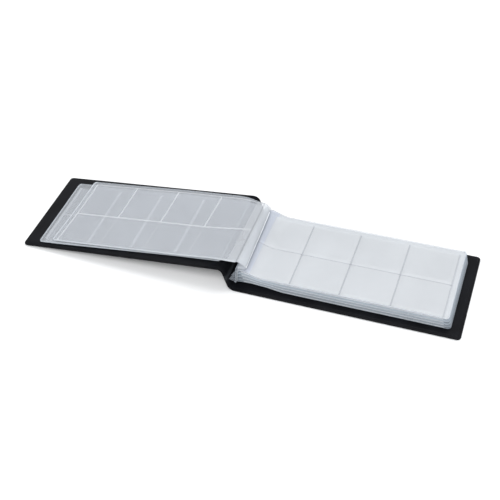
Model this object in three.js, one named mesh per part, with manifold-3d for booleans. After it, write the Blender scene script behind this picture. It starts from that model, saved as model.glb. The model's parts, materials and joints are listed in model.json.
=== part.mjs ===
// Pressed penny album lying open: a dark wrap-round cover of three stiff panels, and clear pocket
// leaves bound on a strip inside the spine. Most leaves lie on the back cover; two are turned over
// onto the front cover, which slopes down from the top of the spine until its free edge touches
// the table. Millimetres, Z up. X runs from the spine along the back cover, Y runs away from the
// viewer, and the origin is the middle of the footprint.
import * as THREE from "three";
import { mergeVertices } from "three/addons/utils/BufferGeometryUtils.js";
import Module from "manifold-3d";

const wasm = await Module();
wasm.setup();

// Cover
const coverLength = 210; // outer face of the closed spine to the free edge
const coverDepth = 102; // along the hinges
const spineWidth = 24.6; // between the two hinge lines
const skinThickness = 0.5; // leatherette outside the boards
const boardThickness = 1.3; // stiff panel inside the leatherette
const liningThickness = 0.4; // plain sheet on the inside
const layerClearance = 0.3; // between the layers of a cover panel, all round
const turnInWidth = 1.2; // leatherette folded up round the boards
const coverCornerRadius = 3.5;
const hingeGap = 1.7; // from a hinge line to the panels beside it
const hingeWebRadius = 1.35; // soft fold of leatherette along a hinge line

// How the album lies
const spineLean = 15; // degrees from upright, away from the leaves
const bindingLean = 6; // degrees from upright, towards the leaves

// Binding strip, a clear upright strip that the leaves are welded to
const bindingGap = 0.35; // round the strip's rolled foot, to the covers beside it
const bindingFootRadius = 1.1;
const bindingThickness = 0.8;
const bindingTip = 0.3; // of the strip beyond its last weld
const lowestWeldHeight = 1.6; // of the lowest leaf, from the foot's centre
const weldPitch = 2.05; // between the leaves' welds on the strip

// Leaves
const leafCountRight = 8; // on the back cover
const leafDepth = 84.6; // along the binding
const leafOffset = 0.7; // of the leaves' middle from the cover's, towards the near edge
const filmThickness = 0.25;
const pocketColumns = 4;
const pocketPitch = 45.5; // weld to weld along a row, wide enough for a 39 mm pressed penny
const pocketRowHeight = 39.1;
const pocketRowGap = 0.4; // between the two pocket strips of a leaf
const pocketRise = 0.35; // how far an empty pocket stands off its welds
const pocketSlope = 1.4; // width of the slope from a weld up to a pocket
const weldWidth = 1.2;
const leafOuterMargin = 5.2; // from the last pocket weld to the free edge
const leafCornerRadius = 3;
const leafPitch = 1.64; // between neighbouring leaves of the stack
const leafClearance = 0.35; // between a leaf and the cover under it
const rightWeldOffset = 8.7; // first pocket weld of the right-hand leaves, from the lower hinge line
const shoulderOffset = 11.5; // where these leaves start to slope down, from the same line
const shoulderDepth = 0.15; // share of a leaf's drop that lies before its shoulder
const settleOffset = 25; // where they reach the stack, from the same line
const turnedLeafEdge = 191.6; // free edge of the lower turned leaf, from the upper hinge line
const turnedLeafRoot = 3.4; // its bound edge, from the upper hinge line
const turnedLeafLead = 1.2; // from the upper turned leaf's fold to its first pocket weld

// Values that follow from the sizes above
const coverThickness = skinThickness + boardThickness + liningThickness + 2 * layerClearance;
const halfCover = coverThickness / 2;
const lowerHinge = new THREE.Vector2(hingeGap, halfCover);
const upperHinge = polar(lowerHinge, spineWidth, 90 + spineLean);
const panelLength = coverLength - hingeGap; // hinge line to free edge, front and back
const frontTilt = degrees(Math.asin(upperHinge.y / Math.hypot(panelLength, halfCover))
  - Math.atan(halfCover / panelLength));
const frontAngle = 180 + frontTilt;
const leafHeight = 2 * filmThickness + layerClearance + pocketRise;
const pocketSpan = pocketColumns * pocketPitch;
const bindingFoot = new THREE.Vector2(
  lowerHinge.x + halfCover + bindingGap + bindingFootRadius,
  coverThickness + bindingGap + bindingFootRadius,
);
const bindingAngle = 90 - bindingLean;
const turnedLift = halfCover + 2 * (leafClearance + leafHeight) - filmThickness / 2;
const turnedWeldHeight = lowerHinge.y + spineWidth - turnedLift - bindingFoot.y; // level when closed
const bindingHeight = turnedWeldHeight + bindingTip;

function degrees(radians) {
  return radians * 180 / Math.PI;
}

function radians(angle) {
  return angle * Math.PI / 180;
}

// Point at a distance and angle from another in the X-Z plane; 0 degrees is +X and 90 is +Z.
function polar(from, distance, angle) {
  return new THREE.Vector2(
    from.x + distance * Math.cos(radians(angle)),
    from.y + distance * Math.sin(radians(angle)),
  );
}

// Materials

function leatherette(name) {
  return new THREE.MeshStandardMaterial({ name, color: 0x24262a, roughness: 0.62, metalness: 0 });
}

function greyBoard(name) {
  return new THREE.MeshStandardMaterial({ name, color: 0x8b857a, roughness: 0.95, metalness: 0 });
}

function liningVinyl(name) {
  return new THREE.MeshStandardMaterial({ name, color: 0x1d1f23, roughness: 0.5, metalness: 0 });
}

function clearFilm(name) {
  return new THREE.MeshStandardMaterial({
    name, color: 0xdde3e8, roughness: 0.25, metalness: 0, transparent: true, opacity: 0.55,
  });
}

function pocketFilm(name) {
  return new THREE.MeshStandardMaterial({
    name, color: 0xe6ebef, roughness: 0.35, metalness: 0, transparent: true, opacity: 0.6,
  });
}

// Solids

function toManifold(geometry) {
  const bare = geometry.index ? geometry.toNonIndexed() : geometry.clone();
  bare.deleteAttribute("normal");
  bare.deleteAttribute("uv");
  const merged = mergeVertices(bare, 1e-4);
  return new wasm.Manifold(new wasm.Mesh({
    numProp: 3,
    vertProperties: new Float32Array(merged.attributes.position.array),
    triVerts: new Uint32Array(merged.index.array),
  }));
}

function toGeometry(solid) {
  const mesh = solid.getMesh();
  const geometry = new THREE.BufferGeometry();
  geometry.setAttribute("position", new THREE.BufferAttribute(new Float32Array(mesh.vertProperties), 3));
  geometry.setIndex(new THREE.BufferAttribute(new Uint32Array(mesh.triVerts), 1));
  geometry.computeVertexNormals();
  return geometry;
}

function namedMesh(name, geometry, material) {
  const mesh = new THREE.Mesh(geometry, material);
  mesh.name = name;
  return mesh;
}

// Group on a hinge line, whose own X axis points along the angle.
function hingedGroup(point, angle) {
  const group = new THREE.Group();
  group.position.set(point.x, 0, point.y);
  group.rotation.y = -radians(angle);
  return group;
}

// The same for a leaf or the binding strip, whose middle lies a little nearer.
function leafGroup(point, angle) {
  const group = hingedGroup(point, angle);
  group.position.y = -leafOffset;
  return group;
}

// Outline from x0 to x1, as deep as given, with both corners at x1 rounded.
function panelOutline(x0, x1, depth, radius) {
  const half = depth / 2;
  const shape = new THREE.Shape();
  shape.moveTo(x0, -half);
  shape.lineTo(x1 - radius, -half);
  if (radius > 0) shape.absarc(x1 - radius, -half + radius, radius, -Math.PI / 2, 0, false);
  shape.lineTo(x1, half - radius);
  if (radius > 0) shape.absarc(x1 - radius, half - radius, radius, 0, Math.PI / 2, false);
  shape.lineTo(x0, half);
  return shape;
}

// Flat plate of an outline, between two heights.
function plate(shape, bottom, top) {
  const geometry = new THREE.ExtrudeGeometry(shape, {
    depth: top - bottom, bevelEnabled: false, curveSegments: 5,
  });
  geometry.translate(0, 0, bottom);
  return geometry;
}

// Solid of one X-Z profile along the hinges, centred on Y.
function profileAlongY(points, depth) {
  const shape = new THREE.Shape(points.map(([x, z]) => new THREE.Vector2(x, z)));
  const geometry = new THREE.ExtrudeGeometry(shape, { depth, bevelEnabled: false });
  geometry.rotateX(Math.PI / 2);
  geometry.translate(0, depth / 2, 0);
  return geometry;
}

// Cover panels

// The three layers of one cover panel, on its own hinge line. inside is 1 where the lining faces
// the panel's +Z and -1 where it faces -Z. A panel with a free end has rounded corners there.
function coverPanel(name, length, inside, freeEnd) {
  const group = new THREE.Group();
  const x0 = hingeGap;
  const x1 = freeEnd ? length : length - hingeGap;
  const radius = freeEnd ? coverCornerRadius : 0;
  const inner = (z) => inside * z;
  const between = (a, b) => [Math.min(inner(a), inner(b)), Math.max(inner(a), inner(b))];
  const recess = panelOutline(x0 + turnInWidth, x1 - turnInWidth, coverDepth - 2 * turnInWidth,
    Math.max(radius - turnInWidth, 0));
  const inset = turnInWidth + layerClearance;
  const filling = panelOutline(x0 + inset, x1 - inset, coverDepth - 2 * inset,
    Math.max(radius - inset, 0));
  const skinInside = -halfCover + skinThickness;
  const boardBottom = skinInside + layerClearance;
  const boardTop = boardBottom + boardThickness;
  const outerBlock = toManifold(plate(panelOutline(x0, x1, coverDepth, radius), -halfCover, halfCover));
  const [cutLow, cutHigh] = between(skinInside, halfCover + 1);
  const tray = outerBlock.subtract(toManifold(plate(recess, cutLow, cutHigh)));
  group.add(namedMesh(`${name}_skin`, toGeometry(tray), leatherette(`${name}_skin`)));
  group.add(namedMesh(`${name}_board`, plate(filling, ...between(boardBottom, boardTop)),
    greyBoard(`${name}_board`)));
  const liningBottom = halfCover - liningThickness;
  group.add(namedMesh(`${name}_lining`, plate(filling, ...between(liningBottom, halfCover)),
    liningVinyl(`${name}_lining`)));
  return group;
}

function hingeWeb(name, point) {
  const length = coverDepth - 2 * turnInWidth;
  const geometry = new THREE.CylinderGeometry(hingeWebRadius, hingeWebRadius, length, 16);
  const mesh = namedMesh(name, geometry, leatherette(name));
  mesh.position.set(point.x, 0, point.y);
  return mesh;
}

// Binding strip

function bindingProfile() {
  const half = bindingThickness / 2;
  const points = [];
  const start = Math.asin(half / bindingFootRadius);
  const steps = 12;
  for (let i = 0; i <= steps; i += 1) {
    const angle = start + (2 * Math.PI - 2 * start) * i / steps;
    points.push([bindingFootRadius * Math.cos(angle), bindingFootRadius * Math.sin(angle)]);
  }
  points.push([bindingHeight, -half], [bindingHeight, half]);
  return points;
}

function bindingStrip() {
  const group = leafGroup(bindingFoot, bindingAngle);
  const geometry = profileAlongY(bindingProfile(), leafDepth);
  group.add(namedMesh("binding_strip", geometry, clearFilm("binding_strip")));
  return group;
}

// Pocket leaves

// Film that follows a line of X-Z points, with rounded corners at its free end.
function bentFilm(line, roundedEnd) {
  const top = line.map(([x, z]) => [x, z + filmThickness]);
  const film = toManifold(profileAlongY([...line, ...top.reverse()], leafDepth));
  if (!roundedEnd) return toGeometry(film);
  const low = Math.min(...line.map(([, z]) => z)) - 1;
  const high = Math.max(...line.map(([, z]) => z)) + 1;
  const x0 = line[0][0] - 1;
  const x1 = line[line.length - 1][0];
  const outline = toManifold(plate(panelOutline(x0, x1, leafDepth, leafCornerRadius), low, high));
  return toGeometry(film.intersect(outline));
}

// One row of pockets: a film that dips to its welds, with an open mouth along its far edge. x0 is
// the first weld, y0 the near edge, and line the film that the row is welded to.
function pocketStrip(x0, y0, line) {
  const halfWeld = weldWidth / 2;
  const columns = [[x0 - halfWeld, 0]];
  for (let i = 0; i < pocketColumns; i += 1) {
    const left = x0 + i * pocketPitch;
    const right = left + pocketPitch;
    columns.push([left + halfWeld, 0], [left + halfWeld + pocketSlope, 1]);
    columns.push([right - halfWeld - pocketSlope, 1], [right - halfWeld, 0]);
  }
  const end = x0 + pocketSpan + halfWeld;
  columns.push([end, 0]);
  const bends = line.map(([x]) => x).filter((x) => x > x0 - halfWeld && x < end);
  const places = [...columns, ...bends.map((x) => [x, heightAt(columns, x)])];
  places.sort((a, b) => a[0] - b[0]);
  const mouth = y0 + pocketRowHeight;
  const rows = [[y0, 0], [y0 + weldWidth, 0], [y0 + weldWidth + pocketSlope, 1], [mouth, 1]];
  const seat = filmThickness + layerClearance;
  const height = (x, c, r) => heightAt(line, x) + seat + pocketRise * c * r;
  return sheet(places, rows, height, filmThickness);
}

// Height of a line of X-Z points at x.
function heightAt(line, x) {
  const next = Math.min(Math.max(line.findIndex((point) => point[0] >= x), 1), line.length - 1);
  const [x0, z0] = line[next - 1];
  const [x1, z1] = line[next];
  return z0 + (z1 - z0) * (x - x0) / (x1 - x0);
}

// Closed thin sheet over a grid of columns and rows. Each entry is a place and a share, and height
// gives the underside from a column's place and the two shares.
function sheet(columns, rows, height, thickness) {
  const across = rows.length;
  const layer = columns.length * across;
  const positions = [];
  for (const lift of [0, thickness]) {
    for (const [x, c] of columns) {
      for (const [y, r] of rows) positions.push(x, y, height(x, c, r) + lift);
    }
  }
  const index = [];
  const quad = (a, b, c, d) => index.push(a, b, c, a, c, d);
  for (let i = 0; i < columns.length - 1; i += 1) {
    for (let j = 0; j < across - 1; j += 1) {
      const a = i * across + j;
      quad(a, a + 1, a + across + 1, a + across);
      quad(layer + a, layer + a + across, layer + a + across + 1, layer + a + 1);
    }
  }
  for (let i = 0; i < columns.length - 1; i += 1) {
    const near = i * across;
    const far = near + across - 1;
    quad(near, near + across, layer + near + across, layer + near);
    quad(far + across, far, layer + far, layer + far + across);
  }
  const last = (columns.length - 1) * across;
  for (let j = 0; j < across - 1; j += 1) {
    quad(j + 1, j, layer + j, layer + j + 1);
    quad(last + j, last + j + 1, layer + last + j + 1, layer + last + j);
  }
  const geometry = new THREE.BufferGeometry();
  geometry.setAttribute("position", new THREE.Float32BufferAttribute(positions, 3));
  geometry.setIndex(index);
  geometry.computeVertexNormals();
  return geometry;
}

// Both pocket rows of a leaf, whose first weld is at x, on a film whose underside follows line.
function addPocketRows(group, name, x, line) {
  const nearRow = -leafDepth / 2;
  const farRow = nearRow + pocketRowHeight + pocketRowGap;
  for (const [row, y] of [["near", nearRow], ["far", farRow]]) {
    const pockets = `${name}_${row}_pockets`;
    group.add(namedMesh(pockets, pocketStrip(x, y, line), pocketFilm(pockets)));
  }
}

// Leaf on the back cover, lowest first. It stays high as it leaves the binding strip, slopes down
// from its shoulder, and then lies flat on the leaf below.
function rightLeaf(number, position) {
  const name = `leaf_${number}`;
  const station = polar(bindingFoot, lowestWeldHeight + position * weldPitch, bindingAngle);
  const group = leafGroup(station, 0);
  const hinge = lowerHinge.x - station.x;
  const weldX = hinge + rightWeldOffset;
  const panelZ = coverThickness + leafClearance + position * leafPitch - station.y;
  const line = [
    [bindingThickness / 2 + layerClearance, -filmThickness / 2],
    [hinge + shoulderOffset, panelZ * shoulderDepth],
    [hinge + settleOffset, panelZ],
    [weldX + pocketSpan + leafOuterMargin, panelZ],
  ];
  group.add(namedMesh(`${name}_film`, bentFilm(line, true), clearFilm(`${name}_film`)));
  addPocketRows(group, name, weldX, line);
  return group;
}

// Lower turned leaf, bound along the cover's upper hinge and lying on the front cover's lining.
function lowerTurnedLeaf(number) {
  const name = `leaf_${number}`;
  const group = leafGroup(upperHinge, frontAngle);
  const filmZ = -halfCover - leafClearance - leafHeight;
  const line = [[turnedLeafRoot, filmZ], [turnedLeafEdge, filmZ]];
  group.add(namedMesh(`${name}_film`, bentFilm(line, true), clearFilm(`${name}_film`)));
  addPocketRows(group, name, turnedLeafEdge - leafOuterMargin - pocketSpan, line);
  return group;
}

// Upper turned leaf: its margin stands up from the binding strip, square to the front cover, and
// folds over there. Its panel lies on the leaf below, level with the front cover.
function upperTurnedLeaf(number) {
  const name = `leaf_${number}`;
  const station = polar(bindingFoot, turnedWeldHeight, bindingAngle);
  const height = heightToTurnedLeaf(station);
  const fold = polar(station, height, frontAngle - 90);
  const underside = -filmThickness / 2;
  const margin = leafGroup(station, frontAngle - 90);
  const rootX = bindingThickness / 2 + layerClearance;
  const marginLine = [[rootX, underside], [height - layerClearance, underside]];
  margin.add(namedMesh(`${name}_margin`, bentFilm(marginLine, false), clearFilm(`${name}_margin`)));
  const panel = leafGroup(fold, frontAngle);
  const panelLine = [
    [layerClearance, underside],
    [turnedLeafLead + pocketSpan + leafOuterMargin, underside],
  ];
  panel.add(namedMesh(`${name}_film`, bentFilm(panelLine, true), clearFilm(`${name}_film`)));
  addPocketRows(panel, name, turnedLeafLead, panelLine);
  return [margin, panel];
}

// How far the upper turned leaf's line lies above a point, square to the front cover.
function heightToTurnedLeaf(point) {
  const base = polar(upperHinge, turnedLift, frontAngle - 90);
  const square = polar(new THREE.Vector2(0, 0), 1, frontAngle - 90);
  return base.sub(point).dot(square);
}

// The album

function buildAlbum() {
  const album = new THREE.Group();
  const back = hingedGroup(lowerHinge, 0);
  back.add(coverPanel("back_cover", panelLength, 1, true));
  album.add(back);
  const spine = hingedGroup(lowerHinge, 90 + spineLean);
  spine.add(coverPanel("spine", spineWidth, -1, false));
  album.add(spine);
  const front = hingedGroup(upperHinge, frontAngle);
  front.add(coverPanel("front_cover", panelLength, -1, true));
  album.add(front);
  album.add(hingeWeb("lower_hinge_web", lowerHinge), hingeWeb("upper_hinge_web", upperHinge));
  album.add(bindingStrip());
  for (let i = 0; i < leafCountRight; i += 1) album.add(rightLeaf(leafCountRight + 2 - i, i));
  album.add(...upperTurnedLeaf(2));
  album.add(lowerTurnedLeaf(1));
  const leftEdge = upperHinge.x - panelLength * Math.cos(radians(frontTilt))
    - halfCover * Math.sin(radians(frontTilt));
  album.position.x = -(leftEdge + coverLength) / 2;
  return album;
}

export default buildAlbum();
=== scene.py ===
# Pressed penny album lying open: a dark wrap-round cover with a hinged spine, and clear vinyl
# pocket leaves bound inside it. Metres, Z up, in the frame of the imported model.
import json
import math
import bmesh
import bpy
from mathutils import Matrix, Vector, noise


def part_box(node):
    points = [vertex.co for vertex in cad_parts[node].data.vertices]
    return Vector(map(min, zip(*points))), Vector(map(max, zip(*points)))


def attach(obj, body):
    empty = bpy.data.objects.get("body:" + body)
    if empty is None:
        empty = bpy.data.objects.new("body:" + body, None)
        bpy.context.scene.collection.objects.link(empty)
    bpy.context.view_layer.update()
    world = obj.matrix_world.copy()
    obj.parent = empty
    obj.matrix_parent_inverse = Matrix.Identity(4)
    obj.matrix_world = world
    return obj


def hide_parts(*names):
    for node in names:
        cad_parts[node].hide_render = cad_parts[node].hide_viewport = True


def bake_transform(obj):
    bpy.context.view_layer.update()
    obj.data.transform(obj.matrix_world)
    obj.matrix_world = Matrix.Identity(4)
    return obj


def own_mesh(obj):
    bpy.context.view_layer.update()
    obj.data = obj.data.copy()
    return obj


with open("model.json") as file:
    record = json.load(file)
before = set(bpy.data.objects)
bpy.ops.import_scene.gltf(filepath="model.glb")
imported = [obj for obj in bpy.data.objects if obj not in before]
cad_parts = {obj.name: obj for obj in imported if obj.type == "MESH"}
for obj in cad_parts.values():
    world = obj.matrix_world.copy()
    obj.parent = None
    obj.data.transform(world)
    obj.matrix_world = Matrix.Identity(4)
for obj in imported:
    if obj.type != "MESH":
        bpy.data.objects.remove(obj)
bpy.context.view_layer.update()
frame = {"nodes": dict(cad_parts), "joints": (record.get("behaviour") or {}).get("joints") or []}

# Camera
# The photograph looks down at the near edge from the right, with a short telephoto lens held
# a little out of level.
camera_place = Vector((0.2462, -0.5752, 0.6194))
camera_azimuth = math.radians(22.801)
camera_elevation = math.radians(44.623)
camera_roll = math.radians(-4.774)
camera_data = bpy.data.cameras.new("camera")
camera_data.sensor_width = 36
camera_data.lens = 67.22
camera_data.clip_start = 0.01
camera = bpy.data.objects.new("camera", camera_data)
bpy.context.scene.collection.objects.link(camera)
ahead = Vector((
    -math.sin(camera_azimuth) * math.cos(camera_elevation),
    math.cos(camera_azimuth) * math.cos(camera_elevation),
    -math.sin(camera_elevation),
))
level = Vector((math.cos(camera_azimuth), math.sin(camera_azimuth), 0))
upward = level.cross(ahead)
across = level * math.cos(camera_roll) + upward * math.sin(camera_roll)
upright = upward * math.cos(camera_roll) - level * math.sin(camera_roll)
turn = Matrix((across, upright, -ahead)).transposed().to_4x4()
camera.matrix_world = Matrix.Translation(camera_place) @ turn
bpy.context.scene.camera = camera

# Table, backdrop and lamps
# The album lies on a plain white table in soft light from above and from the front, so that the
# only clear shadow is the one under the raised front cover. Seen directly, the table is a whiter
# paint that glows with distance, so that it runs out into the plain white of the room.
scene = bpy.context.scene
scene.view_settings.view_transform = "Standard"


def node_of(tree, kind, **settings):
    made = tree.nodes.new(kind)
    for name, value in settings.items():
        setattr(made, name, value)
    return made


def seen_directly(tree):
    """Socket that is 1 where the camera sees the surface, directly, in gloss or through film."""
    path = node_of(tree, "ShaderNodeLightPath")
    first = node_of(tree, "ShaderNodeMath", operation="MAXIMUM")
    tree.links.new(path.outputs["Is Camera Ray"], first.inputs[0])
    tree.links.new(path.outputs["Is Glossy Ray"], first.inputs[1])
    both = node_of(tree, "ShaderNodeMath", operation="MAXIMUM")
    tree.links.new(first.outputs[0], both.inputs[0])
    tree.links.new(path.outputs["Is Transmission Ray"], both.inputs[1])
    return both.outputs[0]


world = bpy.data.worlds.new("white_room")
scene.world = world
world.use_nodes = True
sky = world.node_tree
sky.nodes.clear()
room_light = node_of(sky, "ShaderNodeBackground")
room_light.inputs["Color"].default_value = (0.94, 0.97, 1.0, 1)
room_light.inputs["Strength"].default_value = 0.62
room_white = node_of(sky, "ShaderNodeBackground")
room_white.inputs["Color"].default_value = (1, 1, 1, 1)
room_white.inputs["Strength"].default_value = 1.0
room_mix = node_of(sky, "ShaderNodeMixShader")
sky.links.new(seen_directly(sky), room_mix.inputs[0])
sky.links.new(room_light.outputs[0], room_mix.inputs[1])
sky.links.new(room_white.outputs[0], room_mix.inputs[2])
room_out = node_of(sky, "ShaderNodeOutputWorld")
sky.links.new(room_mix.outputs[0], room_out.inputs["Surface"])

table_mesh = bpy.data.meshes.new("table")
table_reach = 6.0
table_mesh.from_pydata(
    [(-table_reach, -table_reach, 0), (table_reach, -table_reach, 0),
     (table_reach, table_reach, 0), (-table_reach, table_reach, 0)],
    [], [(0, 1, 2, 3)],
)
table = bpy.data.objects.new("table", table_mesh)
scene.collection.objects.link(table)
table.location.z = -0.0002
table_paint = bpy.data.materials.new("table_white")
table_paint.use_nodes = True
paint = table_paint.node_tree
paint.nodes.clear()
matt_white = node_of(paint, "ShaderNodeBsdfDiffuse")
matt_white.inputs["Color"].default_value = (0.76, 0.76, 0.76, 1)
seen_white = node_of(paint, "ShaderNodeBsdfDiffuse")
seen_white.inputs["Color"].default_value = (0.95, 0.95, 0.95, 1)
glow = node_of(paint, "ShaderNodeEmission")
table_place = node_of(paint, "ShaderNodeTexCoord")
table_distance = node_of(paint, "ShaderNodeVectorMath", operation="LENGTH")
paint.links.new(table_place.outputs["Object"], table_distance.inputs[0])
far_glow = node_of(paint, "ShaderNodeMapRange", interpolation_type="SMOOTHSTEP")
far_glow.inputs["From Min"].default_value = 0.4
far_glow.inputs["From Max"].default_value = 1.1
far_glow.inputs["To Min"].default_value = 0.02
far_glow.inputs["To Max"].default_value = 0.65
paint.links.new(table_distance.outputs["Value"], far_glow.inputs["Value"])
paint.links.new(far_glow.outputs[0], glow.inputs["Strength"])
glow_share = node_of(paint, "ShaderNodeMixShader")
lit = node_of(paint, "ShaderNodeAddShader")
paint.links.new(seen_white.outputs[0], lit.inputs[0])
paint.links.new(glow.outputs[0], lit.inputs[1])
paint.links.new(seen_directly(paint), glow_share.inputs[0])
paint.links.new(matt_white.outputs[0], glow_share.inputs[1])
paint.links.new(lit.outputs[0], glow_share.inputs[2])
table_out = node_of(paint, "ShaderNodeOutputMaterial")
paint.links.new(glow_share.outputs[0], table_out.inputs["Surface"])
table_mesh.materials.append(table_paint)


def soft_lamp(name, place, size, power):
    data = bpy.data.lights.new(name, "AREA")
    data.shape = "DISK"
    data.size = size
    data.energy = power
    lamp = bpy.data.objects.new(name, data)
    lamp.location = place
    lamp.rotation_euler = (-Vector(place)).to_track_quat("-Z", "Y").to_euler()
    scene.collection.objects.link(lamp)


soft_lamp("lamp_above", (0.25, 0.4, 1.3), 0.9, 7)
soft_lamp("lamp_front", (0.08, -0.98, 1.3), 0.9, 15)

# Cover wrap
# One sheet of black vinyl leatherette is wrapped and welded round three stiff boards. It runs
# without a break from the back cover, up the spine and over onto the front cover, and bends in
# a soft fold at each hinge.
joints = {joint["name"]: joint for joint in frame["joints"]}
lower_hinge = Vector(joints["spine_hinge"]["pos_m"])
upper_hinge = Vector(joints["front_cover_hinge"]["pos_m"])
cover_half = lower_hinge.z
cover_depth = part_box("back_cover_skin")[1].y * 2
panel_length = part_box("back_cover_skin")[1].x - lower_hinge.x
spine_rise = upper_hinge - lower_hinge
spine_width = spine_rise.length
spine_heading = math.atan2(spine_rise.z, spine_rise.x)
front_tilt = (math.asin(upper_hinge.z / math.hypot(panel_length, cover_half))
              - math.atan(cover_half / panel_length))
front_heading = math.pi + front_tilt
lower_bend = 0.0060
upper_bend = 0.0056
lower_run = lower_bend * math.tan((math.pi - spine_heading) / 2)
upper_run = upper_bend * math.tan((front_heading - spine_heading) / 2)
straight_back = panel_length - lower_run
end_lower = straight_back + lower_bend * (math.pi - spine_heading)
straight_spine = spine_width - lower_run - upper_run
start_upper = end_lower + straight_spine
end_upper = start_upper + upper_bend * (front_heading - spine_heading)
cover_run = end_upper + panel_length - upper_run
middle_of_spine = end_lower + straight_spine / 2


def inner_way(heading):
    return Vector((math.sin(heading), 0, -math.cos(heading)))


def along(heading):
    return Vector((math.cos(heading), 0, math.sin(heading)))


def on_cover(s, w, y=0.0):
    """Point of the wrapped cover: s from the back cover's free edge along its middle layer, w
    towards the leaves."""
    if s <= straight_back:
        heading = math.pi
        place = Vector((lower_hinge.x + panel_length - s, 0, cover_half))
    elif s <= end_lower:
        heading = math.pi - (s - straight_back) / lower_bend
        middle = Vector((lower_hinge.x + lower_run, 0, cover_half + lower_bend))
        place = middle - lower_bend * inner_way(heading)
    elif s <= start_upper:
        heading = spine_heading
        place = lower_hinge + along(heading) * (lower_run + s - end_lower)
    elif s <= end_upper:
        heading = spine_heading + (s - start_upper) / upper_bend
        middle = (upper_hinge - along(spine_heading) * upper_run
                  - inner_way(spine_heading) * upper_bend)
        place = middle + upper_bend * inner_way(heading)
    else:
        heading = front_heading
        place = upper_hinge + along(heading) * (upper_run + s - end_upper)
    place = place + inner_way(heading) * w
    place.y = y
    return place


def cover_stations(first, last, margin, rounding):
    """Places along the cover where a sheet that stops short of its free edges by margin gets a
    ring of points: close together at its ends and in the bends."""
    places = []
    for i in range(9):
        places.append(margin + rounding * (1 - math.cos(math.radians(90 * i / 8))))
    for low, high, count in (
        (margin + rounding, straight_back, 24), (straight_back, end_lower, 14),
        (end_lower, start_upper, 6), (start_upper, end_upper, 14),
        (end_upper, cover_run - margin - rounding, 24),
    ):
        places += [low + (high - low) * i / count for i in range(1, count + 1)]
    for i in range(9):
        places.append(cover_run - margin - rounding * (1 - math.cos(math.radians(90 * i / 8))))
    inside = sorted(s for s in set(round(p, 7) for p in places) if first < s < last)
    return [first] + inside + [last]


def rounded_loop(half_depth, low, high, edge, count):
    """Closed cross-section, flat between two heights with round near and far edges."""
    radius = min(edge, (high - low) / 2)
    middle = (high + low) / 2
    rise = (high - low) / 2 - radius
    inset = half_depth - radius
    points = [(-inset + 2 * inset * i / count, low) for i in range(count)]
    for i in range(7):
        angle = math.radians(-90 + 90 * i / 6)
        points.append((inset + radius * math.cos(angle), middle - rise + radius * math.sin(angle)))
    for i in range(7):
        angle = math.radians(90 * i / 6)
        points.append((inset + radius * math.cos(angle), middle + rise + radius * math.sin(angle)))
    points += [(inset - 2 * inset * i / count, high) for i in range(1, count)]
    for i in range(7):
        angle = math.radians(90 + 90 * i / 6)
        points.append((-inset + radius * math.cos(angle), middle + rise + radius * math.sin(angle)))
    for i in range(6):
        angle = math.radians(180 + 90 * i / 6)
        points.append((-inset + radius * math.cos(angle), middle - rise + radius * math.sin(angle)))
    return points


def wrapped_sheet(name, first, last, margin, corner, low, high, edge, material):
    """Sheet that follows the cover from first to last, as a closed mesh."""
    vertices, faces = [], []
    rings = cover_stations(first, last, margin, corner)
    for s in rings:
        to_end = max(min(s - margin, cover_run - margin - s), 0.0)
        half_depth = cover_depth / 2 - margin
        if to_end < corner:
            half_depth -= corner - math.sqrt(corner * corner - (corner - to_end) ** 2)
        thin = 0.0
        if to_end < edge:
            thin = edge - math.sqrt(edge * edge - (edge - to_end) ** 2)
        thin = min(thin, (high - low) * 0.42)
        loop = rounded_loop(half_depth, low + thin, high - thin, edge, 26)
        vertices += [on_cover(s, w, y) for y, w in loop]
    size = len(vertices) // len(rings)
    for i in range(len(rings) - 1):
        for j in range(size):
            k = (j + 1) % size
            faces.append((i * size + j, i * size + k, (i + 1) * size + k, (i + 1) * size + j))
    faces.append(tuple(reversed(range(size))))
    faces.append(tuple(range(len(vertices) - size, len(vertices))))
    mesh = bpy.data.meshes.new(name)
    mesh.from_pydata(vertices, [], faces)
    mesh.materials.append(material)
    piece = bpy.data.objects.new(name, mesh)
    scene.collection.objects.link(piece)
    point_outwards(piece)
    return piece


def point_outwards(piece):
    """Turns every face of a closed mesh outwards, and shades all but its end faces smooth."""
    shell = bmesh.new()
    shell.from_mesh(piece.data)
    bmesh.ops.recalc_face_normals(shell, faces=shell.faces)
    for face in shell.faces:
        face.smooth = len(face.verts) < 5
    shell.to_mesh(piece.data)
    shell.free()


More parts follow.
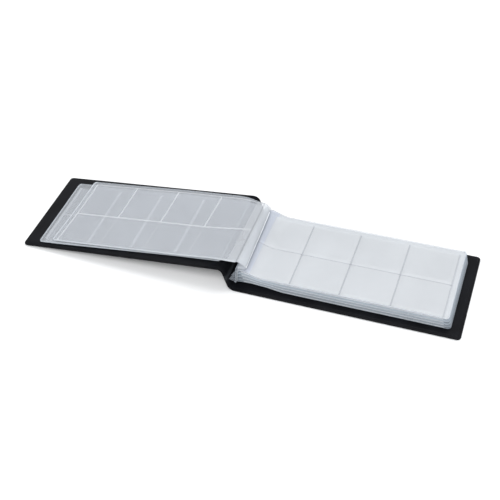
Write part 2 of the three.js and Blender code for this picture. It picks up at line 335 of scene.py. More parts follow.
def leatherette(name, colour, grain, roughness):
    """Black vinyl with a fine pebbled grain, with a painted highlight that makes its sharp edges
    paler. Its sheen fades towards the spine as painted shade, where the open cover shades itself."""
    material = bpy.data.materials.new(name)
    material.use_nodes = True
    tree = material.node_tree
    shader = tree.nodes["Principled BSDF"]
    place = node_of(tree, "ShaderNodeTexCoord")
    pebbles = node_of(tree, "ShaderNodeTexVoronoi", feature="SMOOTH_F1")
    pebbles.inputs["Scale"].default_value = 1 / grain
    tree.links.new(place.outputs["Object"], pebbles.inputs["Vector"])
    cloudy = node_of(tree, "ShaderNodeTexNoise")
    cloudy.inputs["Scale"].default_value = 60
    cloudy.inputs["Detail"].default_value = 4
    tree.links.new(place.outputs["Object"], cloudy.inputs["Vector"])
    tint = node_of(tree, "ShaderNodeValToRGB")
    tint.color_ramp.elements[0].position = 0.35
    tint.color_ramp.elements[0].color = (*[c * 0.8 for c in colour], 1)
    tint.color_ramp.elements[1].position = 0.7
    tint.color_ramp.elements[1].color = (*[c * 1.3 for c in colour], 1)
    tree.links.new(cloudy.outputs["Fac"], tint.inputs["Fac"])
    # Painted highlight: the colour turns paler where the edges are sharp.
    edge = node_of(tree, "ShaderNodeNewGeometry")
    edge_highlight = node_of(tree, "ShaderNodeMapRange")
    edge_highlight.inputs["From Min"].default_value = 0.52
    edge_highlight.inputs["From Max"].default_value = 0.62
    tree.links.new(edge.outputs["Pointiness"], edge_highlight.inputs["Value"])
    edge_highlight_mix = node_of(tree, "ShaderNodeMix", data_type="RGBA")
    edge_highlight_mix.inputs["B"].default_value = (0.03, 0.032, 0.036, 1)
    tree.links.new(edge_highlight.outputs[0], edge_highlight_mix.inputs["Factor"])
    tree.links.new(tint.outputs["Color"], edge_highlight_mix.inputs["A"])
    tree.links.new(edge_highlight_mix.outputs["Result"], shader.inputs["Base Color"])
    gloss = node_of(tree, "ShaderNodeMapRange")
    gloss.inputs["To Min"].default_value = roughness - 0.07
    gloss.inputs["To Max"].default_value = roughness + 0.07
    tree.links.new(cloudy.outputs["Fac"], gloss.inputs["Value"])
    tree.links.new(gloss.outputs[0], shader.inputs["Roughness"])
    bump = node_of(tree, "ShaderNodeBump")
    bump.inputs["Strength"].default_value = 0.35
    bump.inputs["Distance"].default_value = 0.00012
    tree.links.new(pebbles.outputs["Distance"], bump.inputs["Height"])
    tree.links.new(bump.outputs["Normal"], shader.inputs["Normal"])
    # Painted shade: the sheen is turned down near the spine, where the open cover shades itself.
    parts = node_of(tree, "ShaderNodeSeparateXYZ")
    tree.links.new(place.outputs["Object"], parts.inputs[0])
    from_spine = node_of(tree, "ShaderNodeMath", operation="ABSOLUTE")
    tree.links.new(parts.outputs["X"], from_spine.inputs[0])
    sheen = node_of(tree, "ShaderNodeMapRange", interpolation_type="SMOOTHSTEP")
    sheen.inputs["From Min"].default_value = 0.006
    sheen.inputs["From Max"].default_value = 0.03
    sheen.inputs["To Min"].default_value = 0.012
    sheen.inputs["To Max"].default_value = 0.062
    tree.links.new(from_spine.outputs[0], sheen.inputs["Value"])
    tree.links.new(sheen.outputs[0], shader.inputs["Specular IOR Level"])
    return material


cover_vinyl = leatherette("cover_leatherette", (0.0062, 0.0064, 0.0078), 0.0007, 0.55)
wrap_edge = 0.0011
wrap_corner = 0.0036
wrap_inner_w = cover_half - 0.0003
for name, first, last, bodies, start, end in (
    ("cover_wrap_back", 0.0, middle_of_spine, ("back_cover", "spine"), straight_back, end_lower),
    ("cover_wrap_front", middle_of_spine, cover_run, ("spine", "front_cover"),
     start_upper, end_upper),
):
    wrap = wrapped_sheet(name, first, last, 0.0, wrap_corner, -cover_half, wrap_inner_w,
                         wrap_edge, cover_vinyl)
    if bodies[0] == "back_cover":
        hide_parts("back_cover_skin", "lower_hinge_web", "spine_skin")
    else:
        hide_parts("front_cover_skin", "upper_hinge_web")
    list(bodies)
    on_cover(start, 0)
    on_cover(end, 0)
    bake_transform(wrap)

# Cover lining
# A plain sheet of the same black vinyl, smoother, is welded over the inside of all three panels
# a little in from their edges.
lining_vinyl = leatherette("cover_lining", (0.0060, 0.0064, 0.0080), 0.0011, 0.45)
lining_margin = 0.0022
lining_corner = wrap_corner - lining_margin + 0.0006
lining_thickness = 0.0006
for name, first, last, bodies, start, end in (
    ("cover_lining_back", lining_margin, middle_of_spine, ("back_cover", "spine"),
     straight_back, end_lower),
    ("cover_lining_front", middle_of_spine, cover_run - lining_margin,
     ("spine", "front_cover"), start_upper, end_upper),
):
    lining = wrapped_sheet(name, first, last, lining_margin, lining_corner,
                           cover_half - lining_thickness, cover_half, lining_thickness / 2,
                           lining_vinyl)
    if bodies[0] == "back_cover":
        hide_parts("back_cover_lining", "spine_lining")
    else:
        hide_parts("front_cover_lining")
    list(bodies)
    on_cover(start, 0)
    on_cover(end, 0)
    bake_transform(lining)

# Boards
# Plain grey paper boards fill the three panels inside the leatherette and make them stiff.
board_paper = bpy.data.materials.new("grey_board")
board_paper.use_nodes = True
board_tree = board_paper.node_tree
board_shader = board_tree.nodes["Principled BSDF"]
board_place = node_of(board_tree, "ShaderNodeTexCoord")
board_fibres = node_of(board_tree, "ShaderNodeTexNoise")
board_fibres.inputs["Scale"].default_value = 900
board_fibres.inputs["Detail"].default_value = 5
board_tree.links.new(board_place.outputs["Object"], board_fibres.inputs["Vector"])
board_tint = node_of(board_tree, "ShaderNodeValToRGB")
board_tint.color_ramp.elements[0].color = (0.2, 0.185, 0.16, 1)
board_tint.color_ramp.elements[1].color = (0.33, 0.31, 0.28, 1)
board_tree.links.new(board_fibres.outputs["Fac"], board_tint.inputs["Fac"])
board_tree.links.new(board_tint.outputs["Color"], board_shader.inputs["Base Color"])
board_shader.inputs["Roughness"].default_value = 0.9
for name in ("back_cover_board", "spine_board", "front_cover_board"):
    board = frame["nodes"][name]
    board.data.materials.clear()
    board.data.materials.append(board_paper)

# Clear vinyl
# Leaves and binding strip are soft clear film, frosted by handling, faintly blue where it is
# seen edge on, with gentle waves that catch the light.


def clear_vinyl(name, colour, cover_share, roughness, wave):
    """Clear film: its tint, how much of what is behind it the film hides, and its waves."""
    material = bpy.data.materials.new(name)
    material.use_nodes = True
    tree = material.node_tree
    shader = tree.nodes["Principled BSDF"]
    place = node_of(tree, "ShaderNodeTexCoord")
    haze = node_of(tree, "ShaderNodeTexNoise")
    haze.inputs["Scale"].default_value = 22
    haze.inputs["Detail"].default_value = 5
    tree.links.new(place.outputs["Object"], haze.inputs["Vector"])
    tint = node_of(tree, "ShaderNodeValToRGB")
    tint.color_ramp.elements[0].position = 0.3
    tint.color_ramp.elements[0].color = (*[c * 0.965 for c in colour], 1)
    tint.color_ramp.elements[1].position = 0.75
    tint.color_ramp.elements[1].color = (*[min(c * 1.025, 1) for c in colour], 1)
    tree.links.new(haze.outputs["Fac"], tint.inputs["Fac"])
    tree.links.new(tint.outputs["Color"], shader.inputs["Base Color"])
    gloss = node_of(tree, "ShaderNodeMapRange")
    gloss.inputs["To Min"].default_value = roughness - 0.06
    gloss.inputs["To Max"].default_value = roughness + 0.08
    tree.links.new(haze.outputs["Fac"], gloss.inputs["Value"])
    tree.links.new(gloss.outputs[0], shader.inputs["Roughness"])
    waves = node_of(tree, "ShaderNodeTexNoise")
    waves.inputs["Scale"].default_value = 75
    waves.inputs["Detail"].default_value = 2
    tree.links.new(place.outputs["Object"], waves.inputs["Vector"])
    bump = node_of(tree, "ShaderNodeBump")
    bump.inputs["Strength"].default_value = 1.0
    bump.inputs["Distance"].default_value = wave
    tree.links.new(waves.outputs["Fac"], bump.inputs["Height"])
    tree.links.new(bump.outputs["Normal"], shader.inputs["Normal"])
    shader.inputs["IOR"].default_value = 1.5
    shader.inputs["Specular IOR Level"].default_value = 0.5
    shader.inputs["Alpha"].default_value = cover_share
    return material


# Pocket leaves
# Each leaf is a plain film with two rows of four pockets welded onto it. A thinner film makes
# each row of pockets: it dips to its welds and stands a little off the leaf between them.
film_thickness = 0.00025
edge_film = clear_vinyl("edge_film", (0.72, 0.76, 0.81), 0.6, 0.28, 0.0002)
pocket_pitch = 0.0455
row_height = 0.0391
row_gap = 0.0004
weld_half = 0.0006
pocket_slope = 0.0022
pocket_rise = 0.00045
pocket_gap = 0.0001
leaf_depth = 0.0846
leaf_half = leaf_depth / 2
leaf_middle = -0.0007
near_edge = -leaf_half
leaf_corner = 0.003
outer_margin = 0.0052
free_end = 0.004


def pocket_tree():
    """Sheet of pockets in a row: a flat grid whose lines crowd towards the welds, raised between
    them by a smooth rise."""
    tree = bpy.data.node_groups.new("pocket_row", "GeometryNodeTree")
    face = tree.interface
    for label, kind in (("Columns", "NodeSocketInt"), ("Cells", "NodeSocketInt"),
                        ("Pitch", "NodeSocketFloat"), ("Row height", "NodeSocketFloat"),
                        ("Weld half width", "NodeSocketFloat"), ("Slope", "NodeSocketFloat"),
                        ("Rise", "NodeSocketFloat"), ("Film", "NodeSocketMaterial")):
        face.new_socket(label, in_out="INPUT", socket_type=kind)
    face.new_socket("Geometry", in_out="OUTPUT", socket_type="NodeSocketGeometry")
    given = node_of(tree, "NodeGroupInput")

    def sums(operation, first, second=None):
        """Output of a Math node on sockets or plain numbers."""
        step = node_of(tree, "ShaderNodeMath", operation=operation)
        for slot_number, value in enumerate((first, second)):
            if value is None:
                continue
            if isinstance(value, (int, float)):
                step.inputs[slot_number].default_value = value
            else:
                tree.links.new(value, step.inputs[slot_number])
        return step.outputs[0]

    count_x = sums("ADD", sums("MULTIPLY", given.outputs["Columns"], given.outputs["Cells"]), 1)
    grid = node_of(tree, "GeometryNodeMeshGrid")
    tree.links.new(given.outputs["Columns"], grid.inputs["Size X"])
    grid.inputs["Size Y"].default_value = 1
    tree.links.new(count_x, grid.inputs["Vertices X"])
    tree.links.new(sums("ADD", given.outputs["Cells"], 1), grid.inputs["Vertices Y"])
    place = node_of(tree, "GeometryNodeInputPosition")
    parts = node_of(tree, "ShaderNodeSeparateXYZ")
    tree.links.new(place.outputs[0], parts.inputs[0])

    def crowded(share):
        """Moves a share of a cell towards the cell's ends."""
        wave = sums("SINE", sums("MULTIPLY", share, 2 * math.pi))
        return sums("SUBTRACT", share, sums("MULTIPLY", wave, 0.86 / (2 * math.pi)))

    def rise_between(distance):
        """0 at a weld, 1 past the slope, smooth between."""
        level_part = node_of(tree, "ShaderNodeMapRange", interpolation_type="SMOOTHERSTEP")
        tree.links.new(distance, level_part.inputs["Value"])
        tree.links.new(given.outputs["Weld half width"], level_part.inputs["From Min"])
        tree.links.new(sums("ADD", given.outputs["Weld half width"], given.outputs["Slope"]),
                       level_part.inputs["From Max"])
        return level_part.outputs[0]

    half_columns = sums("MULTIPLY", given.outputs["Columns"], 0.5)
    column_place = sums("ADD", parts.outputs["X"], half_columns)
    x_place = sums("MULTIPLY", crowded(column_place), given.outputs["Pitch"])
    row_place = crowded(sums("ADD", parts.outputs["Y"], 0.5))
    y_place = sums("MULTIPLY", row_place, given.outputs["Row height"])
    nearest = sums("PINGPONG", x_place, sums("MULTIPLY", given.outputs["Pitch"], 0.5))
    height = sums("MULTIPLY", sums("MULTIPLY", rise_between(nearest), rise_between(y_place)),
                  given.outputs["Rise"])
    joined = node_of(tree, "ShaderNodeCombineXYZ")
    tree.links.new(x_place, joined.inputs["X"])
    tree.links.new(y_place, joined.inputs["Y"])
    tree.links.new(height, joined.inputs["Z"])
    moved = node_of(tree, "GeometryNodeSetPosition")
    tree.links.new(grid.outputs["Mesh"], moved.inputs["Geometry"])
    tree.links.new(joined.outputs[0], moved.inputs["Position"])
    loose = node_of(tree, "GeometryNodeRealizeInstances")
    tree.links.new(moved.outputs[0], loose.inputs[0])
    dressed = node_of(tree, "GeometryNodeSetMaterial")
    tree.links.new(loose.outputs[0], dressed.inputs["Geometry"])
    tree.links.new(given.outputs["Film"], dressed.inputs["Material"])
    out = node_of(tree, "NodeGroupOutput")
    tree.links.new(dressed.outputs[0], out.inputs[0])
    return tree


pocket_row_tree = pocket_tree()


def pocket_row_mesh(name, rise, film):
    """One row of four pockets, flat, from its first weld at the origin."""
    bare = bpy.data.meshes.new(name + "_start")
    holder = bpy.data.objects.new(name + "_start", bare)
    scene.collection.objects.link(holder)
    maker = holder.modifiers.new("pockets", "NODES")
    maker.node_group = pocket_row_tree
    sockets = {item.name: item.identifier for item in pocket_row_tree.interface.items_tree
               if item.item_type == "SOCKET" and item.in_out == "INPUT"}
    for label, value in (("Columns", 4), ("Cells", 16), ("Pitch", pocket_pitch),
                         ("Row height", row_height), ("Weld half width", weld_half),
                         ("Slope", pocket_slope), ("Rise", rise), ("Film", film)):
        maker[sockets[label]] = value
    bpy.context.view_layer.update()
    ready = holder.evaluated_get(bpy.context.evaluated_depsgraph_get())
    mesh = bpy.data.meshes.new_from_object(ready)
    holder.modifiers.remove(maker)
    bpy.data.objects.remove(holder)
    return mesh


def ripple(x, y, seed, size):
    """Gentle unevenness of soft film, the same each time."""
    place = Vector((x * 14 + seed * 3.7, y * 16 + seed * 1.3, seed * 5.1))
    return size * noise.noise(place)


def film_piece(name, mesh):
    """Object made from a sheet, with the film's thickness downwards from its face."""
    piece = bpy.data.objects.new(name, mesh)
    scene.collection.objects.link(piece)
    mesh.materials.append(edge_film)
    wall = piece.modifiers.new("wall", "SOLIDIFY")
    wall.thickness = film_thickness
    wall.offset = -1
    wall.use_even_offset = True
    wall.material_offset_rim = 1
    bpy.context.view_layer.update()
    ready = piece.evaluated_get(bpy.context.evaluated_depsgraph_get())
    thick_mesh = bpy.data.meshes.new_from_object(ready)
    piece.modifiers.remove(wall)
    piece.data = thick_mesh
    for polygon in thick_mesh.polygons:
        polygon.use_smooth = polygon.material_index % 2 == 0
    return piece


def corner_half(free, radius):
    """Half depth of a leaf at a distance from its free edge, with rounded corners."""
    if free >= radius:
        return leaf_half
    return leaf_half - radius + math.sqrt(max(radius ** 2 - (radius - free) ** 2, 0))


def zoned(mesh, film, margin, in_margin):
    """Films of a sheet: one for its pages, one for its margin, each with its own edge film."""
    mesh.materials.append(film)
    if margin:
        mesh.materials.append(edge_film)
        mesh.materials.append(margin)
        for polygon, inside in zip(mesh.polygons, in_margin):
            polygon.material_index = 2 if inside else 0


def page_sheet(name, stations, shape, film, corner=leaf_corner, margin=None, margin_end=0.0):
    """Plain film of a leaf. stations run along it and shape gives a point from a station and a
    place across."""
    rows = 42
    vertices, faces = [], []
    length = stations[-1]
    for s in stations:
        half = corner_half(length - s, corner) if corner else leaf_half
        for j in range(rows + 1):
            vertices.append(shape(s, -half + 2 * half * j / rows))
    for i in range(len(stations) - 1):
        for j in range(rows):
            a = i * (rows + 1) + j
            faces.append((a, a + rows + 1, a + rows + 2, a + 1))
    mesh = bpy.data.meshes.new(name)
    mesh.from_pydata(vertices, [], faces)
    zoned(mesh, film, margin, [stations[face[0] // (rows + 1)] < margin_end for face in faces])
    return film_piece(name, mesh)


def pocket_rows(name, first_weld, shape, rise, film, margin=None, margin_end=0.0):
    """Both rows of pockets of a leaf as one mesh, laid along its shape."""
    vertices, faces, in_margin = [], [], []
    row = pocket_row_mesh(name, rise, film)
    for y0 in (near_edge, near_edge + row_height + row_gap):
        base = len(vertices)
        for vertex in row.vertices:
            vertices.append(shape(first_weld + vertex.co.x, y0 + vertex.co.y, vertex.co.z))
        for polygon in row.polygons:
            faces.append(tuple(base + v for v in polygon.vertices))
            in_margin.append(first_weld + polygon.center.x < margin_end)
    mesh = bpy.data.meshes.new(name)
    mesh.from_pydata(vertices, [], faces)
    zoned(mesh, film, margin, in_margin)
    return film_piece(name, mesh)


def evenly(low, high, count):
    """Places from low to high, count steps apart."""
    return [low + (high - low) * i / count for i in range(count + 1)]


def weld_lines(name, shape, first_weld, side, film, first_film=None, last_film=None,
               half_width=0.0008, far_line=False, long_kind=0, starts=0.0004, near_film=None):
    """Pressed weld lines of a leaf, as low ridges on one side of its film: across at each pocket,
    and along the near edge, the middle and, if asked for, the far edge. Lines across begin at
    starts from the near edge. Kinds of film: 0 most lines, 1 the line across nearest the spine,
    2 the outermost one, 3 the near row's. long_kind is the kind of the lines along."""
    vertices, faces, kinds = [], [], []
    ridge_foot, across_height, along_height = -0.00004, 0.00006, 0.00005
    films = [film, first_film or film, last_film or film, near_film or film]

    def ridge(points, sideways, width, height, kind):
        base = len(vertices)
        for s, y in points:
            for offset, rise in ((-width, ridge_foot), (-width * 0.4, height),
                                 (width * 0.4, height), (width, ridge_foot)):
                vertices.append(shape(s + offset * sideways[0], y + offset * sideways[1],
                                      side * rise))
        for i in range(len(points) - 1):
            for j in range(3):
                a = base + i * 4 + j
                corner = (a, a + 4, a + 5, a + 1)
                faces.append(corner if side > 0 else tuple(reversed(corner)))
                kinds.append(kind)

    low = near_edge + 0.0004
    mid = near_edge + row_height + row_gap / 2
    high = leaf_half - 0.0034 if far_line else near_edge + 2 * row_height + row_gap
    for k, kind in enumerate((1, 0, 0, 0, 2)):
        s = first_weld + k * pocket_pitch
        near_part = [(s, y) for y in evenly(near_edge + starts, mid, 17)]
        far_part = [(s, y) for y in evenly(mid, high, 17)]
        ridge(near_part, (1, 0), half_width, across_height, kind or 3)
        ridge(far_part, (1, 0), half_width, across_height, kind)
    last = first_weld + 4 * pocket_pitch
    lengthwise = [(low + 0.0006, 0.0004), (mid, 0.0009)]
    if far_line:
        lengthwise.append((high, 0.0005))
    for y, width in lengthwise:
        ridge([(s, y) for s in evenly(first_weld, last, 90)], (0, 1), width, along_height,
              long_kind)
    mesh = bpy.data.meshes.new(name)
    mesh.from_pydata(vertices, [], faces)
    for part in films:
        mesh.materials.append(part)
    for polygon, kind in zip(mesh.polygons, kinds):
        polygon.use_smooth = True
        polygon.material_index = kind
    piece = bpy.data.objects.new(name, mesh)
    scene.collection.objects.link(piece)
    return piece


def leaf_rim(name, shape, total, low, high, film, far_side=True, far_film=None):
    """Welded rim along the near edge, the free edge and the far edge of a leaf, as a thin bead.
    low and high are its levels from the film's face."""
    first, corner, half = 0.001, leaf_corner, leaf_half
    path = [(s, -half, 0.0, -1.0) for s in evenly(first, total - corner, 70)]
    for i in range(1, 8):
        turn_by = math.pi / 2 * i / 8
        path.append((total - corner + corner * math.sin(turn_by),
                     -half + corner - corner * math.cos(turn_by),
                     math.sin(turn_by), -math.cos(turn_by)))
    path += [(total, y, 1.0, 0.0) for y in evenly(-half + corner, half - corner, 30)]
    for i in range(1, 8):
        turn_by = math.pi / 2 * i / 8
        path.append((total - corner + corner * math.cos(turn_by),
                     half - corner + corner * math.sin(turn_by),
                     math.cos(turn_by), math.sin(turn_by)))
    far_start = len(path)
    if far_side:
        path += [(s, half, 0.0, 1.0) for s in evenly(total - corner, first, 70)]
    ring = ((-0.0010, low), (0.0001, low), (0.0002, (low + high) / 2), (0.0001, high),
            (-0.0010, high))
    vertices, faces = [], []
    for s, y, out_s, out_y in path:
        for out, level_at in ring:
            vertices.append(shape(s + out * out_s, y + out * out_y, level_at))
    count = len(ring)
    for i in range(len(path) - 1):
        for j in range(count):
            a, b = i * count + j, i * count + (j + 1) % count
            faces.append((a, a + count, b + count, b))
    last_ring = (len(path) - 1) * count
    faces.append(tuple(range(count)))
    faces.append(tuple(reversed(range(last_ring, last_ring + count))))
    mesh = bpy.data.meshes.new(name)
    mesh.from_pydata(vertices, [], faces)
    mesh.materials.append(film)
    mesh.materials.append(far_film or film)
    for polygon in mesh.polygons:
        if min(polygon.vertices) >= far_start * count:
            polygon.material_index = 1
    piece = bpy.data.objects.new(name, mesh)
    scene.collection.objects.link(piece)
    point_outwards(piece)
    for polygon in mesh.polygons:
        polygon.use_smooth = True
    return piece


# Leaves on the back cover
# Eight leaves lie flat on the back cover. Each is bound on the strip by the spine, stays high as
# it leaves it, and slopes down in a soft curve to lie flat on the leaf below.
top_film = clear_vinyl("top_film", (0.755, 0.775, 0.80), 0.4, 0.30, 0.0004)
stacked_film = clear_vinyl("stacked_film", (0.73, 0.755, 0.785), 0.85, 0.35, 0.0003)
# Painted shade: the top leaf's margin, where it slopes down off the strip, is a darker film.
shoulder_shade_film = clear_vinyl("shoulder_shade_film", (0.60, 0.635, 0.71), 0.55, 0.32, 0.0004)
# Painted shade: the top leaf's weld lines are darker copies of its film.
shaded_weld_film = clear_vinyl("shaded_weld_film", (0.50, 0.52, 0.56), 0.35, 0.3, 0.0001)
shaded_faint_weld = clear_vinyl("shaded_faint_weld", (0.56, 0.58, 0.62), 0.2, 0.3, 0.0001)
top_rim = clear_vinyl("top_rim", (0.76, 0.80, 0.85), 0.35, 0.3, 0.0001)
margin_reach = 0.0135
first_weld_x = lower_hinge.x + 0.0087
shoulder_x = lower_hinge.x + 0.0085
settle_x = lower_hinge.x + 0.0290
lowest_gap = 0.00035
stack_pitch = 0.00164
spread_step = 0.00033
loose_lift = 0.0027
loose_reach = 0.045
for number in range(10, 2, -1):
    name = f"leaf_{number}"
    bound = Vector(joints[f"{name}_hinge"]["pos_m"])
    root = Vector((bound.x + 0.0007, 0, bound.z))
    stack_place = 10 - number
    level_z = 2 * cover_half + lowest_gap + stack_place * stack_pitch + film_thickness
    spread = spread_step * (7 - stack_place)
    top_one = number == 3

    def leaf_shape(s, y, z=0.0, root=root, level_z=level_z, number=number):
        """The highest leaf rises a little off its root, the lower ones bulge up further on."""
        x = root.x + s
        t = min(max((x - shoulder_x) / (settle_x - shoulder_x), 0), 1)
        ease = t * t * (3 - 2 * t)
        wave = ripple(s, y, number, 0.0002) * min(1, s / 0.02)
        lift = 0.0004 * math.sin(math.pi * min(1, s / 0.012)) * (number == 3)
        bulge = math.sin(math.pi * min(1, s / loose_reach)) ** 1.5
        lift += loose_lift * (number - 3) / 7 * bulge
        return Vector((x, y + leaf_middle, root.z + (level_z - root.z) * ease + z + wave + lift))

    film = top_film if top_one else stacked_film
    total = first_weld_x + 4 * pocket_pitch + outer_margin + spread - root.x
    stations = (evenly(0, 0.03, 26) + evenly(0.03, total - free_end, 56)[1:]
                + evenly(total - free_end, total, 8)[1:])
    margin = shoulder_shade_film if top_one else None
    page = page_sheet(f"{name}_page", stations, leaf_shape, film, margin=margin,
                      margin_end=margin_reach)
    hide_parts(f"{name}_film")
    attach(page, name)
    first_weld = first_weld_x + spread - root.x

    def pocket_shape(s, y, z, shape=leaf_shape):
        return shape(s, y, z + film_thickness + pocket_gap)

    rows = pocket_rows(f"{name}_pockets", first_weld, pocket_shape, pocket_rise, film, margin,
                       margin_reach)
    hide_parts(f"{name}_near_pockets", f"{name}_far_pockets")
    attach(rows, name)
    # Painted light and shade: alternate leaves get lit or shaded rim copies, and the rims grow
    # darker down the stack.
    lit = number % 2 == 1
    shade = 0.52 + 0.055 * stack_place
    rim_colour = (0.64, 0.72, 0.80) if lit else (0.48, 0.545, 0.625)
    rim_film = clear_vinyl(f"{name}_rim_film", [c * shade for c in rim_colour], 0.8, 0.28, 0.0001)
    rim = leaf_rim(f"{name}_rim", leaf_shape, total, -0.0003, 0.0006 if lit else 0.0002,
                   top_rim if top_one else rim_film, far_side=not top_one)
    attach(rim, name)
    if top_one:
        welds = weld_lines(f"{name}_welds", pocket_shape, first_weld, 1, shaded_weld_film, None,
                           shaded_faint_weld, half_width=0.0010)
        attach(welds, name)

# Turned leaves
# Two leaves are turned over onto the front cover, so that the smooth backs of their films show.
# They are made like the others, and lie a little out of true because the film is soft.
page_film = clear_vinyl("page_film", (0.685, 0.715, 0.76), 0.25, 0.32, 0.0004)
pocket_film = clear_vinyl("pocket_film", (0.685, 0.715, 0.76), 0.25, 0.30, 0.0004)
far_rim = clear_vinyl("far_rim", (0.40, 0.43, 0.47), 0.35, 0.3, 0.0001)
front_along = along(front_heading)
front_up = inner_way(front_heading)
turned_rim_low, turned_rim_high = -0.00015, 0.0005


def turned_shape(start, height, seed, curl=0.0, arch=0.0, drawn_in=0.0, near_wider=0.0,
                 far_wider=0.0, pulled=0.0, skew=0.0, fold_pull=0.0, flared=0.0):
    """Turned leaf: s from start along the front cover, z towards the cover. It curls up along
    its far edge, arches up where it comes over the spine, and lies a little askew: pulled
    towards the spine, at its far edge most. By the fold its far corner is drawn in, and its
    near corner flares out."""
    def shape(s, y, z=0.0):
        far_share = y / leaf_half
        wave = ripple(s, y, seed, 0.00025)
        wave += curl * max(0.0, (y + 0.02) / 0.062) ** 2 * min(1, max(0, s / 0.07))
        wave += arch * math.exp(-(s / 0.028) ** 2)
        run = s - pulled - skew * far_share * min(1, max(0, s / 0.03))
        run -= fold_pull * math.exp(-(s / 0.02) ** 2)
        place = start + front_along * run + front_up * (height - z + wave)
        aside = leaf_middle - 0.0015 * s / 0.18
        aside -= drawn_in * max(0.0, far_share) ** 3 * math.exp(-(s / 0.017) ** 2)
        aside -= flared * max(0.0, -far_share) ** 3 * math.exp(-(s / 0.018) ** 2)
        aside -= near_wider * (1 - far_share) / 2 * min(1, max(0, (s - 0.04) / 0.13))
        aside += far_wider * (1 + far_share) / 2
        return place + Vector((0, y + aside, 0))
    return shape


def turned_leaf(name, shape, total, first_weld, margin=None, margin_end=0.0):
    """Film and pockets of a turned leaf, laid along its shape."""
    stations = evenly(0, total - free_end, 64) + evenly(total - free_end, total, 8)[1:]
    page = page_sheet(f"{name}_page", stations, shape, page_film, margin=margin,
                      margin_end=margin_end)
    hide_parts(f"{name}_film")
    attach(page, name)

    def pocket_shape(s, y, z):
        return shape(s, y, z + film_thickness + pocket_gap)

    rows = pocket_rows(f"{name}_pockets", first_weld, pocket_shape, pocket_rise, pocket_film)
    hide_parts(f"{name}_near_pockets", f"{name}_far_pockets")
    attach(rows, name)
    return page, rows


# Lower turned leaf
# Leaf 1 is bound by the upper fold and lies on the front cover's lining. It sticks out past the
# leaf above, and its broad welds show through that one.
# Painted light: leaf 1's broad welds are a pale film that glows a little, so that they show through
# leaf 2.
glowing_under_weld = clear_vinyl("glowing_under_weld", (0.97, 0.98, 1.0), 0.9, 0.25, 0.0001)
glowing_under_weld.node_tree.nodes["Principled BSDF"].inputs["Emission Strength"].default_value = 0.2
faint_weld = clear_vinyl("faint_weld", (0.80, 0.83, 0.87), 0.4, 0.3, 0.0001)
lower_rim = clear_vinyl("lower_rim", (0.60, 0.65, 0.70), 0.5, 0.3, 0.0001)
lower_root = 0.0034
lower_edge = 0.1916
lower_total = lower_edge - lower_root
lower_lead = lower_edge - outer_margin - 4 * pocket_pitch - lower_root
lower_shape = turned_shape(upper_hinge + front_along * lower_root, cover_half + 0.0015, 21,
                           curl=0.0003, near_wider=0.0026)
turned_leaf("leaf_1", lower_shape, lower_total, lower_lead)
lower_welds = weld_lines("leaf_1_welds", lower_shape, lower_lead, -1, glowing_under_weld, faint_weld,
                         faint_weld, half_width=0.0016, long_kind=2, starts=0.0045)
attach(lower_welds, "leaf_1")
lower_edging = leaf_rim("leaf_1_rim", lower_shape, lower_total, turned_rim_low, turned_rim_high,
                        lower_rim, far_film=far_rim)
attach(lower_edging, "leaf_1")

# Upper turned leaf
# Leaf 2 comes over the top of the spine in a soft arch, where its weld has creased it. It is
# pulled askew towards the spine.
fold_film = clear_vinyl("fold_film", (0.75, 0.775, 0.81), 0.3, 0.32, 0.0004)
# Painted highlight: leaf 2's weld lines are a paler copy of its film.
weld_highlight_film = clear_vinyl("weld_highlight_film", (0.92, 0.94, 0.96), 0.5, 0.25, 0.0001)
near_weld = clear_vinyl("near_weld", (0.97, 0.98, 1.0), 0.22, 0.3, 0.0001)
# Painted shade: the weld line by the crease is a dark film.
crease_shade_film = clear_vinyl("crease_shade_film", (0.36, 0.38, 0.42), 0.45, 0.35, 0.0001)
# Painted highlight: leaf 2's rim is a pale film.
turned_rim = clear_vinyl("turned_rim", (0.84, 0.88, 0.92), 0.55, 0.25, 0.0001)
fold_2 = Vector(joints["leaf_2_fold"]["pos_m"])
bound_2 = Vector(joints["leaf_2_hinge"]["pos_m"])
upper_lead = 0.0012
upper_total = upper_lead + 4 * pocket_pitch + outer_margin
gathered = 0.0085
flare = 0.0030
upper_shape = turned_shape(fold_2, 0.000125, 33, curl=0.0022, arch=0.0028, drawn_in=gathered,
                           far_wider=0.0012, pulled=0.0021, skew=0.0022, fold_pull=0.0019,
                           flared=flare)
upper_page, upper_rows = turned_leaf("leaf_2", upper_shape, upper_total, upper_lead,
                                     margin=fold_film, margin_end=0.0065)
upper_welds = weld_lines("leaf_2_welds", upper_shape, upper_lead, -1, weld_highlight_film, crease_shade_film,
                         far_line=True, near_film=near_weld)
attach(upper_welds, "leaf_2")
upper_edging = leaf_rim("leaf_2_rim", upper_shape, upper_total, turned_rim_low,
                        turned_rim_high, turned_rim, far_film=far_rim)
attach(upper_edging, "leaf_2")
for piece in (upper_page, upper_rows, upper_welds, upper_edging):
    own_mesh(piece)

# Upper turned leaf's margin
# From the crease, leaf 2's bound margin bulges out over the stack in a soft loop and goes down
# to its weld on the binding strip.
loop_film = clear_vinyl("loop_film", (0.76, 0.79, 0.83), 0.45, 0.3, 0.0005)
margin_way = (fold_2 - bound_2).normalized()
margin_side = Vector((margin_way.z, 0, -margin_way.x))
loop_top = fold_2 + front_up * 0.0029 - front_along * 0.0040
loop_points = (bound_2 + margin_side * 0.0012 + margin_way * 0.0012,
               bound_2 + Vector((0.0075, 0, 0.0020)),
               bound_2 + Vector((0.0102, 0, 0.0022)), bound_2 + Vector((0.0080, 0, 0.0072)),
               loop_top + Vector((0.0020, 0, -0.0002)), loop_top)


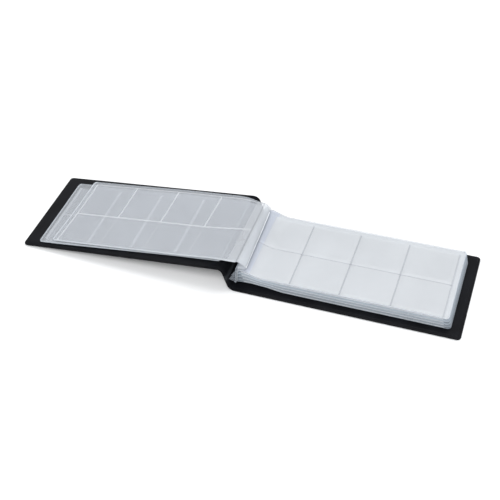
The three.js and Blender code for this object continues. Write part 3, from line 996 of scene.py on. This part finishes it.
def margin_shape(s, y):
    """Loop of the upper leaf's margin: s from 0 at the strip to 1 at the fold."""
    count = len(loop_points) - 1
    place = Vector()
    for i, point in enumerate(loop_points):
        share = math.comb(count, i) * s ** i * (1 - s) ** (count - i)
        place += point * share
    fuller = 1 - 0.25 * y / leaf_half
    out = (place - bound_2).dot(margin_side)
    place += margin_side * out * (fuller - 1) * math.sin(math.pi * s)
    place += margin_side * ripple(s * 0.03, y * 2, 61, 0.0008) * math.sin(math.pi * s)
    drawn_in = gathered * max(0.0, y / leaf_half) ** 3 * s
    flared = flare * max(0.0, -y / leaf_half) ** 3 * s
    return place + Vector((0, y + leaf_middle - drawn_in - flared, 0))


loop = page_sheet("leaf_2_margin_loop", evenly(0, 1, 30), margin_shape, loop_film, corner=0)
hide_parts("leaf_2_margin")
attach(loop, "leaf_2_margin")
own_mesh(loop)

# Bead on the margin
# Along the fullest part of the loop the film is gathered into a thick, uneven bead. Its pale film
# is a painted highlight along the loop.
bead_highlight_film = clear_vinyl("bead_highlight_film", (0.93, 0.95, 0.98), 0.75, 0.3, 0.0001)
bead_place = 0.36
bead_steps, bead_sides, bead_radius = 60, 10, 0.00055
bead_vertices, bead_faces = [], []
for i in range(bead_steps + 1):
    y = near_edge + 0.001 + (leaf_depth - 0.008) * i / bead_steps
    foot = margin_shape(bead_place, y) + margin_side * 0.0004
    radius = bead_radius * (0.9 + 0.25 * noise.noise(Vector((y * 90, 3.1, 0.7))))
    for j in range(bead_sides):
        angle = 2 * math.pi * j / bead_sides
        bead_vertices.append(foot + Vector((radius * math.cos(angle), 0, radius * math.sin(angle))))
for i in range(bead_steps):
    for j in range(bead_sides):
        a, b = i * bead_sides + j, i * bead_sides + (j + 1) % bead_sides
        bead_faces.append((a, a + bead_sides, b + bead_sides, b))
bead_faces.append(tuple(range(bead_sides)))
bead_faces.append(tuple(reversed(range(bead_steps * bead_sides, (bead_steps + 1) * bead_sides))))
bead_mesh = bpy.data.meshes.new("leaf_2_margin_bead")
bead_mesh.from_pydata(bead_vertices, [], bead_faces)
bead_mesh.materials.append(bead_highlight_film)
bead = bpy.data.objects.new("leaf_2_margin_bead", bead_mesh)
scene.collection.objects.link(bead)
point_outwards(bead)
for polygon in bead_mesh.polygons:
    polygon.use_smooth = True
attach(bead, "leaf_2_margin")
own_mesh(bead)

# Binding strip
# A clear upright strip inside the spine, with a rolled foot at the back cover. The bound edges
# of the leaves are welded to it.
strip_film = clear_vinyl("strip_film", (0.55, 0.60, 0.66), 0.6, 0.28, 0.0002)
strip = frame["nodes"]["binding_strip"]
strip.data.materials.clear()
strip.data.materials.append(strip_film)

# Loose flap of the strip
# The soft film is trimmed unevenly at the strip's near end, and a flap of it hangs towards the
# spine.
flap_film = clear_vinyl("flap_film", (0.52, 0.56, 0.62), 0.2, 0.3, 0.0006)
flap_rows, flap_columns, flap_half = 16, 8, 0.0001
strip_foot = Vector(joints["binding_hinge"]["pos_m"])
strip_end = Vector((strip_foot.x + 0.0012, -0.0434, strip_foot.z))
flap_corners = (strip_end + Vector((0.0008, 0, 0.0165)), strip_end + Vector((0, 0, 0.0010)),
                strip_end + Vector((0.0002, -0.0004, 0.0165)),
                strip_end + Vector((-0.0048, -0.0048, 0.0080)))


def flap_shape(down, out, z=0.0):
    """Loose flap of film: down from 0 at its top to 1 at the foot, out from the strip to 1."""
    inner = flap_corners[0].lerp(flap_corners[1], down)
    outer = flap_corners[2].lerp(flap_corners[3], down)
    place = inner.lerp(outer, out)
    wave = 0.0004 * math.sin(7 * down + 2 * out) * out + z
    return place + Vector((wave * 0.3, -wave, 0))


flap_vertices, flap_faces = [], []
for level in (-flap_half, flap_half):
    for i in range(flap_rows + 1):
        for j in range(flap_columns + 1):
            flap_vertices.append(flap_shape(i / flap_rows, j / flap_columns, level))
layer = (flap_rows + 1) * (flap_columns + 1)
for i in range(flap_rows):
    for j in range(flap_columns):
        a = i * (flap_columns + 1) + j
        corner = (a, a + 1, a + flap_columns + 2, a + flap_columns + 1)
        flap_faces.append(corner)
        flap_faces.append(tuple(reversed([v + layer for v in corner])))
border = ([j for j in range(flap_columns + 1)]
          + [(i + 1) * (flap_columns + 1) + flap_columns for i in range(flap_rows)]
          + [flap_rows * (flap_columns + 1) + j for j in range(flap_columns - 1, -1, -1)]
          + [i * (flap_columns + 1) for i in range(flap_rows - 1, 0, -1)])
for i, a in enumerate(border):
    b = border[(i + 1) % len(border)]
    flap_faces.append((a, a + layer, b + layer, b))
flap_mesh = bpy.data.meshes.new("binding_flap")
flap_mesh.from_pydata(flap_vertices, [], flap_faces)
flap_mesh.materials.append(flap_film)
flap = bpy.data.objects.new("binding_flap", flap_mesh)
scene.collection.objects.link(flap)
point_outwards(flap)
for polygon in flap_mesh.polygons:
    polygon.use_smooth = True
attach(flap, "binding")
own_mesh(flap)
